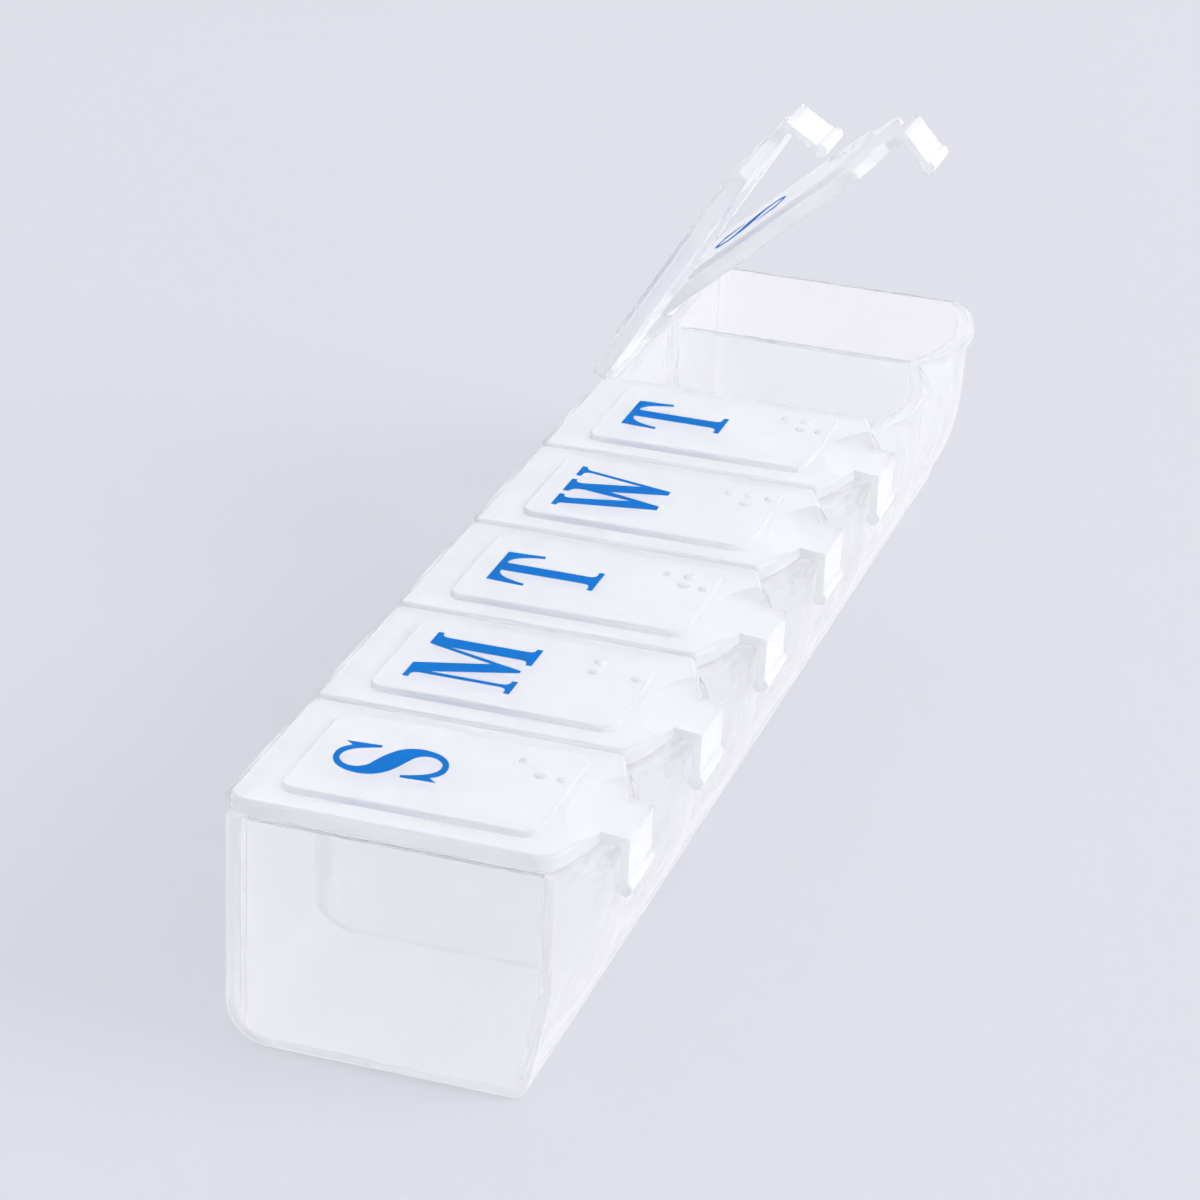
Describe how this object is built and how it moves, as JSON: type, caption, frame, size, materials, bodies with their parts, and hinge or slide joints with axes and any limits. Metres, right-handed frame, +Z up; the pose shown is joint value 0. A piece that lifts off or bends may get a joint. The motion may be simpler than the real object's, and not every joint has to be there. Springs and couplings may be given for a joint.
{
  "type": "pill organizer",
  "caption": "Long translucent pill organizer: a row of compartments with bowed fronts, each shut by its own hinged snap lid with a raised panel, thumb scoop and latch tab.",
  "frame": {"origin": "middle of the flat underside, half way along the tray and half way between its rear wall and the line through the notches of its front wall", "axes": "+X along the row from the first day to the last, -Y towards the latches, +Z up"},
  "size_m": [0.1498, 0.0368, 0.0538],
  "materials": {
    "tray_plastic": "translucent polypropylene, smooth with a slight haze",
    "lid_plastic": "translucent polypropylene, smooth with a slight haze and printed day letter",
    "hinge_plastic": "thin polypropylene web, whitened by bending"
  },
  "bodies": {
    "tray": {"tray": "tray_plastic", "hinge_web_sunday": "hinge_plastic", "hinge_web_monday": "hinge_plastic", "hinge_web_tuesday": "hinge_plastic", "hinge_web_wednesday": "hinge_plastic", "hinge_web_thursday": "hinge_plastic", "hinge_web_friday": "hinge_plastic", "hinge_web_saturday": "hinge_plastic"},
    "lid_sunday": {"lid_sunday": "lid_plastic"},
    "lid_monday": {"lid_monday": "lid_plastic"},
    "lid_tuesday": {"lid_tuesday": "lid_plastic"},
    "lid_wednesday": {"lid_wednesday": "lid_plastic"},
    "lid_thursday": {"lid_thursday": "lid_plastic"},
    "lid_friday": {"lid_friday": "lid_plastic"},
    "lid_saturday": {"lid_saturday": "lid_plastic"}
  },
  "joints": [
    {"name": "sunday_lid_hinge", "type": "hinge", "parent": "tray", "child": "lid_sunday", "pos_m": [-0.0642, 0.01595, 0.0229], "axis": [-1, 0, 0], "range_deg": [0, 180], "deforming": ["hinge_web_sunday"]},
    {"name": "monday_lid_hinge", "type": "hinge", "parent": "tray", "child": "lid_monday", "pos_m": [-0.0428, 0.01595, 0.0229], "axis": [-1, 0, 0], "range_deg": [0, 180], "deforming": ["hinge_web_monday"]},
    {"name": "tuesday_lid_hinge", "type": "hinge", "parent": "tray", "child": "lid_tuesday", "pos_m": [-0.0214, 0.01595, 0.0229], "axis": [-1, 0, 0], "range_deg": [0, 180], "deforming": ["hinge_web_tuesday"]},
    {"name": "wednesday_lid_hinge", "type": "hinge", "parent": "tray", "child": "lid_wednesday", "pos_m": [0, 0.01595, 0.0229], "axis": [-1, 0, 0], "range_deg": [0, 180], "deforming": ["hinge_web_wednesday"]},
    {"name": "thursday_lid_hinge", "type": "hinge", "parent": "tray", "child": "lid_thursday", "pos_m": [0.0214, 0.01595, 0.0229], "axis": [-1, 0, 0], "range_deg": [0, 180], "deforming": ["hinge_web_thursday"]},
    {"name": "friday_lid_hinge", "type": "hinge", "parent": "tray", "child": "lid_friday", "pos_m": [0.0428, 0.01595, 0.0229], "axis": [-1, 0, 0], "range_deg": [-59, 121], "deforming": ["hinge_web_friday"]},
    {"name": "saturday_lid_hinge", "type": "hinge", "parent": "tray", "child": "lid_saturday", "pos_m": [0.0642, 0.01595, 0.0229], "axis": [-1, 0, 0], "range_deg": [-42, 138], "deforming": ["hinge_web_saturday"]}
  ]
}
